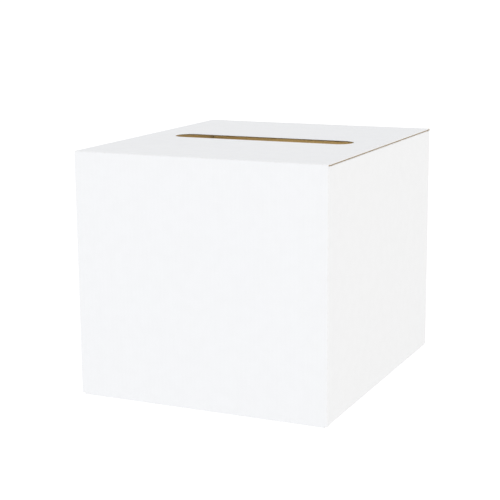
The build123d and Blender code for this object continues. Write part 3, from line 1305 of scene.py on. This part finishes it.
@dataclass
class Bottom:
    """The four bottom flaps: the lock flap's tab rises through the slot flap's notch.

    Its dies reach past the flaps that they cut, and the tab is measured from the lock flap's crease.
    """

    sizes: BoxSizes
    finishes: Finishes
    side_inset: float = 2.0 * MM
    taper: float = 3.0 * MM
    corner_radius: float = 5.0 * MM
    shoulder_past_centre: float = 20.0 * MM
    tab_half_width: float = 45.0 * MM
    tab_root_before_centre: float = 22.0 * MM
    tab_ramp_length: float = 28.0 * MM
    tab_ramp_layers: int = 3
    tab_overlap: float = 42.0 * MM
    relief_slit: float = 1.6 * MM
    leg_past_centre: float = 24.0 * MM
    notch_side_clearance: float = 2.0 * MM
    notch_edge_clearance: float = 2.0 * MM
    notch_flare: float = 5.0 * MM
    side_tab_clearance: float = 3.0 * MM
    side_front_bevel: float = 30.0 * MM
    side_diagonal: float = 32.0 * MM
    side_end_gap: float = 28.0 * MM
    ramp_steps: int = 14
    past: float = 4.0 * MM

    @property
    def root(self) -> float:
        """Half of the width of the lock flap and the slot flap at their creases."""
        return self.sizes.inside_x - self.side_inset

    @property
    def tab_root(self) -> float:
        """Where the lock flap's tab starts to rise."""
        return self.sizes.inside_y - self.tab_root_before_centre

    @property
    def notch_edge(self) -> float:
        """Where the slot flap's notch ends, past the end of the tab's ramp."""
        return self.tab_root + self.tab_ramp_length + self.notch_edge_clearance

    def level(self, layer: int) -> Vector:
        """The inner face of a bottom flap on a layer."""
        return Z * (layer * self.sizes.layer + BOARD.thickness)

    def sheet(self, half: float, end: float) -> Line:
        """The corners of the sheet that a flap is cut from."""
        return (-half - SPARE, BOARD.flank), (half + SPARE, end + SPARE)

    def raise_tab(self, piece: Workpiece) -> None:
        """Bends the lock flap's tab up its ramp, row by row.

        Args:
            piece: A ply of the lock flap, cut but still flat.
        """
        rise = self.tab_ramp_layers * self.sizes.layer
        half = self.tab_half_width + self.relief_slit / 2
        step = self.tab_ramp_length / self.ramp_steps
        for index in range(self.ramp_steps + 1):
            piece.score((0, self.tab_root + index * step, 0), (0, 1, 0))
        piece.close()
        heights = [rise * smooth_step(index / self.ramp_steps) for index in range(self.ramp_steps + 1)]
        for index in range(1, self.ramp_steps + 1):
            start = self.tab_root + (index - 0.5) * step
            piece.pick(lambda co: abs(co.x) < half and co.y > start)
            piece.move((0, 0, heights[index - 1] - heights[index]))
        piece.close()

    def lock_flap(self) -> Panel:
        """The flap below the front wall: two shoulders, and the tab between them.

        Returns:
            The panel.
        """
        sizes = self.sizes
        end = sizes.inside_y + self.shoulder_past_centre
        tab_tip = self.notch_edge + self.tab_overlap
        tab = self.tab_half_width
        slit = tab + self.relief_slit
        shoulder = slit - BOARD.cut_gap
        wide = self.root + self.past
        outline = Die(
            (-self.root, -self.past), (self.root, tab_tip + self.past), True,
            mirrored((self.root, 0), (self.root - self.taper, end)),
        )
        slits = ((-slit, -tab, self.tab_root), (tab, slit, self.tab_root))
        shoulders = ((-wide, -shoulder, end), (shoulder, wide, end))
        beside = [
            Die((low, start), (high, tab_tip + 2 * self.past)) for low, high, start in slits + shoulders
        ]
        tab_end = Die((-wide, -self.past), (wide, tab_tip), True)
        return Panel(
            "lock_flap", -Y * sizes.inside_y + self.level(0), Y, -Z,
            *self.sheet(self.root, tab_tip), (outline, *beside, tab_end), shape=self.raise_tab,
        )

    def slot_flap(self) -> Panel:
        """The flap below the back wall: two legs, and the notch between them.

        Returns:
            The panel.
        """
        sizes = self.sizes
        end = sizes.inside_y + self.leg_past_centre
        tip = self.root - self.taper
        outline = Die(
            (-self.root, -self.past), (self.root, end), True,
            mirrored((self.root, 0), (tip, end)), ((tip, end), (-tip, end)), self.corner_radius,
        )
        root = 2 * sizes.inside_y - self.notch_edge
        mouth_end = end + self.past
        half = self.tab_half_width + self.notch_side_clearance
        wide = half + self.notch_flare
        notch = Die(
            (-wide, root), (wide, mouth_end), False,
            mirrored((half, root), (wide, mouth_end)), ((half, root), (-half, root)), self.corner_radius,
        )
        return Panel(
            "slot_flap", Y * sizes.inside_y + self.level(2), -Y, -Z,
            *self.sheet(self.root, end), (outline, notch),
        )

    def side_flap(self, side: Side) -> Panel:
        """The flap below a side wall, clear of the tab's ramp and deeper behind it.

        Args:
            side: Which of the two.

        Returns:
            The panel.
        """
        sizes = self.sizes
        root = sizes.inside_y - BOARD.thickness - self.side_inset
        shallow = sizes.inside_x - self.tab_half_width - self.side_tab_clearance
        deep = sizes.inside_x - self.side_end_gap / 2
        step = self.notch_edge - sizes.inside_y
        far = step + self.side_diagonal

        def at(y: float, depth: float) -> Point:
            """A point of the outline, from its Y on the box and its depth from the wall."""
            return (-side.value * y, depth)

        def trim(first: Point, second: Point) -> tuple[Line]:
            """A cut along the outline, turned round on the flap that is its mirror image."""
            return ((first, second) if side is Side.RIGHT else (second, first),)

        back_end = at(root - self.taper, deep)
        outline = Die(
            (-root, -self.past), (root, deep), True,
            trim(back_end, at(root, 0)), (back_end,), self.corner_radius,
        )
        bevel = Die(
            (-root - self.past, -self.past), (root + self.past, deep + self.past), True,
            trim(at(-root, 0), at(self.side_front_bevel - root, shallow)),
        )
        low, high = sorted((at(-root - self.past, 0)[0], at(step, 0)[0]))
        beside_tab = Die((low, shallow), (high, deep + 2 * self.past))
        low, high = sorted((at(step, 0)[0], at(far, 0)[0]))
        diagonal = Die(
            (low - BOARD.cut_gap / 2, shallow), (high, deep + 2 * self.past), False,
            trim(at(far, deep), at(step, shallow)),
        )
        return Panel(
            f"{side.label}_bottom_flap", side.outward * sizes.inside_x + self.level(1), -side.outward, -Z,
            *self.sheet(root, deep), (outline, bevel, beside_tab, diagonal),
        )

    def creases(self) -> list[Crease]:
        """The creases between the walls and the bottom flaps.

        Returns:
            The four creases.
        """
        sizes = self.sizes
        half_x = sizes.inside_x - BOARD.flank
        half_y = sizes.inside_y - BOARD.flank
        table = (
            ("lock_flap_crease", -Y, sizes.inside_y, 0, -half_x, half_x),
            ("slot_flap_crease", Y, sizes.inside_y, 2, -half_x, half_x),
            ("right_bottom_crease", X, sizes.inside_x, 1, -half_y, half_y),
            ("left_bottom_crease", -X, sizes.inside_x, 1, -half_y, sizes.left_edge),
        )
        return [
            Crease(name, outward * reach + self.level(layer), -Z, outward, start, end, wrapped=True)
            for name, outward, reach, layer, start, end in table
        ]

    def build(self) -> None:
        """Makes the flaps and their creases."""
        flaps = [self.lock_flap(), self.slot_flap()] + [self.side_flap(side) for side in Side]
        for part in flaps + self.creases():
            part.build(self.finishes)


# Studio


@dataclass(frozen=True)
class Lamp:
    """A square soft light, which lights the box but isn't seen itself.

    Attributes:
        name: The light's name.
        place: Where it hangs.
        target: Where it points.
        size: The length of its side.
        power: Its power, in watts.
        colour: Its colour.
    """

    name: str
    place: Place
    target: Place
    size: float
    power: float
    colour: Place = (1.0, 1.0, 1.0)

    def hang(self) -> None:
        """Hangs the light."""
        data = bpy.data.lights.new(self.name, "AREA")
        data.shape = "SQUARE"
        data.size = self.size
        data.energy = self.power
        data.color = self.colour
        lamp = bpy.data.objects.new(self.name, data)
        lamp.location = self.place
        lamp.rotation_mode = "QUATERNION"
        lamp.rotation_quaternion = (Vector(self.target) - Vector(self.place)).to_track_quat("-Z", "Y")
        lamp.visible_camera = False
        bpy.context.scene.collection.objects.link(lamp)


@dataclass
class Studio:
    """The floor, the light and the camera, which aren't part of the box."""

    sizes: BoxSizes
    camera_place: Place = (0.4151, -0.9279, 0.3089)
    camera_yaw: float = -0.4309
    camera_pitch: float = 0.2049
    camera_roll: float = -0.008
    lens: float = 94.34
    sensor: float = 36.0
    clip: Point = (0.01, 100.0)
    floor_half: float = 60.0
    floor_drop: float = 0.1 * MM
    floor_grey: Colour = (0.25, 0.25, 0.25, 1.0)
    floor_glow: float = 0.85
    white: Colour = (1.0, 1.0, 1.0, 1.0)
    daylight: float = 0.99
    backdrop: float = 1.02
    slot_light_share: float = 0.35

    def camera(self) -> None:
        """Sets the camera at the photograph's viewing angle."""
        yaw = self.camera_yaw
        pitch = self.camera_pitch
        roll = self.camera_roll
        ahead = math.cos(pitch)
        forward = Vector((math.sin(yaw) * ahead, math.cos(yaw) * ahead, -math.sin(pitch)))
        level = Vector((math.cos(yaw), -math.sin(yaw), 0))
        up = level.cross(forward)
        right = level * math.cos(roll) + up * math.sin(roll)
        upright = up * math.cos(roll) - level * math.sin(roll)
        data = bpy.data.cameras.new("camera")
        data.lens = self.lens
        data.sensor_width = self.sensor
        data.clip_start, data.clip_end = self.clip
        camera = bpy.data.objects.new("camera", data)
        matrix = Matrix((right, upright, -forward)).transposed().to_4x4()
        matrix.translation = Vector(self.camera_place)
        camera.matrix_world = matrix
        bpy.context.scene.collection.objects.link(camera)
        bpy.context.scene.camera = camera

    def floor(self) -> None:
        """Lays a plain, almost white floor that glows a little, as a lit table does."""
        bpy.ops.object.select_all(action="DESELECT")
        bpy.ops.mesh.primitive_plane_add(size=2 * self.floor_half, location=(0, 0, -self.floor_drop))
        floor = bpy.context.active_object
        floor.name = "floor"
        coat(floor, Surface("floor").shade({
            "Base Color": self.floor_grey,
            "Roughness": 1.0,
            "Specular IOR Level": 0.0,
            "Emission Color": self.white,
            "Emission Strength": self.floor_glow,
        }))

    def surroundings(self) -> None:
        """Surrounds the box with plain white light, and a plain white wall that only shows."""
        scene = bpy.context.scene
        scene.view_settings.view_transform = "Standard"
        scene.view_settings.look = "None"
        scene.world = bpy.data.worlds.new("studio")
        graph = Graph(scene.world)
        lit = graph.tree.nodes["Background"]
        graph.feed(lit, {"Color": self.white, "Strength": self.daylight})
        shown = graph.add("ShaderNodeBackground", 0, {"Color": self.white, "Strength": self.backdrop})
        seen = graph.add("ShaderNodeLightPath", "Is Camera Ray", {})
        mix = graph.add("ShaderNodeMixShader", 0, {0: seen, 1: lit.outputs[0], 2: shown})
        graph.feed(graph.tree.nodes["World Output"], {"Surface": mix})

    def lights(self) -> None:
        """Hangs two soft lights, and the small one that lights what shows through the slot."""
        height = self.sizes.height
        middle = (0, 0, height / 2)
        inside = (0, 0, height * self.slot_light_share)
        lamps = (
            Lamp("front_light", (-0.5, -2.2, 0.5), middle, 1.4, 5.2),
            Lamp("side_light", (2.2, -0.5, 0.6), middle, 1.4, 3.8, (1.0, 0.79, 0.43)),
            Lamp("slot_light", inside, (0, 0.1, height), 0.08, 0.21, (0.92, 1.0, 0.9)),
        )
        for lamp in lamps:
            lamp.hang()

    def build(self) -> None:
        """Sets up the studio."""
        self.floor()
        self.surroundings()
        self.lights()
        self.camera()
        LOG.info("studio: floor, light and camera")


def main() -> None:
    """Builds the sub-assemblies of the box in order, then the studio."""
    logging.basicConfig(level=logging.INFO, format="%(name)s: %(message)s")
    sizes = BoxSizes.from_frame()
    finishes = Finishes(sizes)
    dust_flaps = [DustFlap(side, sizes, finishes) for side in Side]
    for part in (Tube(sizes, finishes), Bottom(sizes, finishes), *dust_flaps, Lid(sizes, finishes)):
        part.build()
    coat(frame["nodes"]["seam_glue"], finishes.glue)
    LOG.info("seam glue: dressed")
    Studio(sizes).build()


if __name__ == "__main__":
    main()
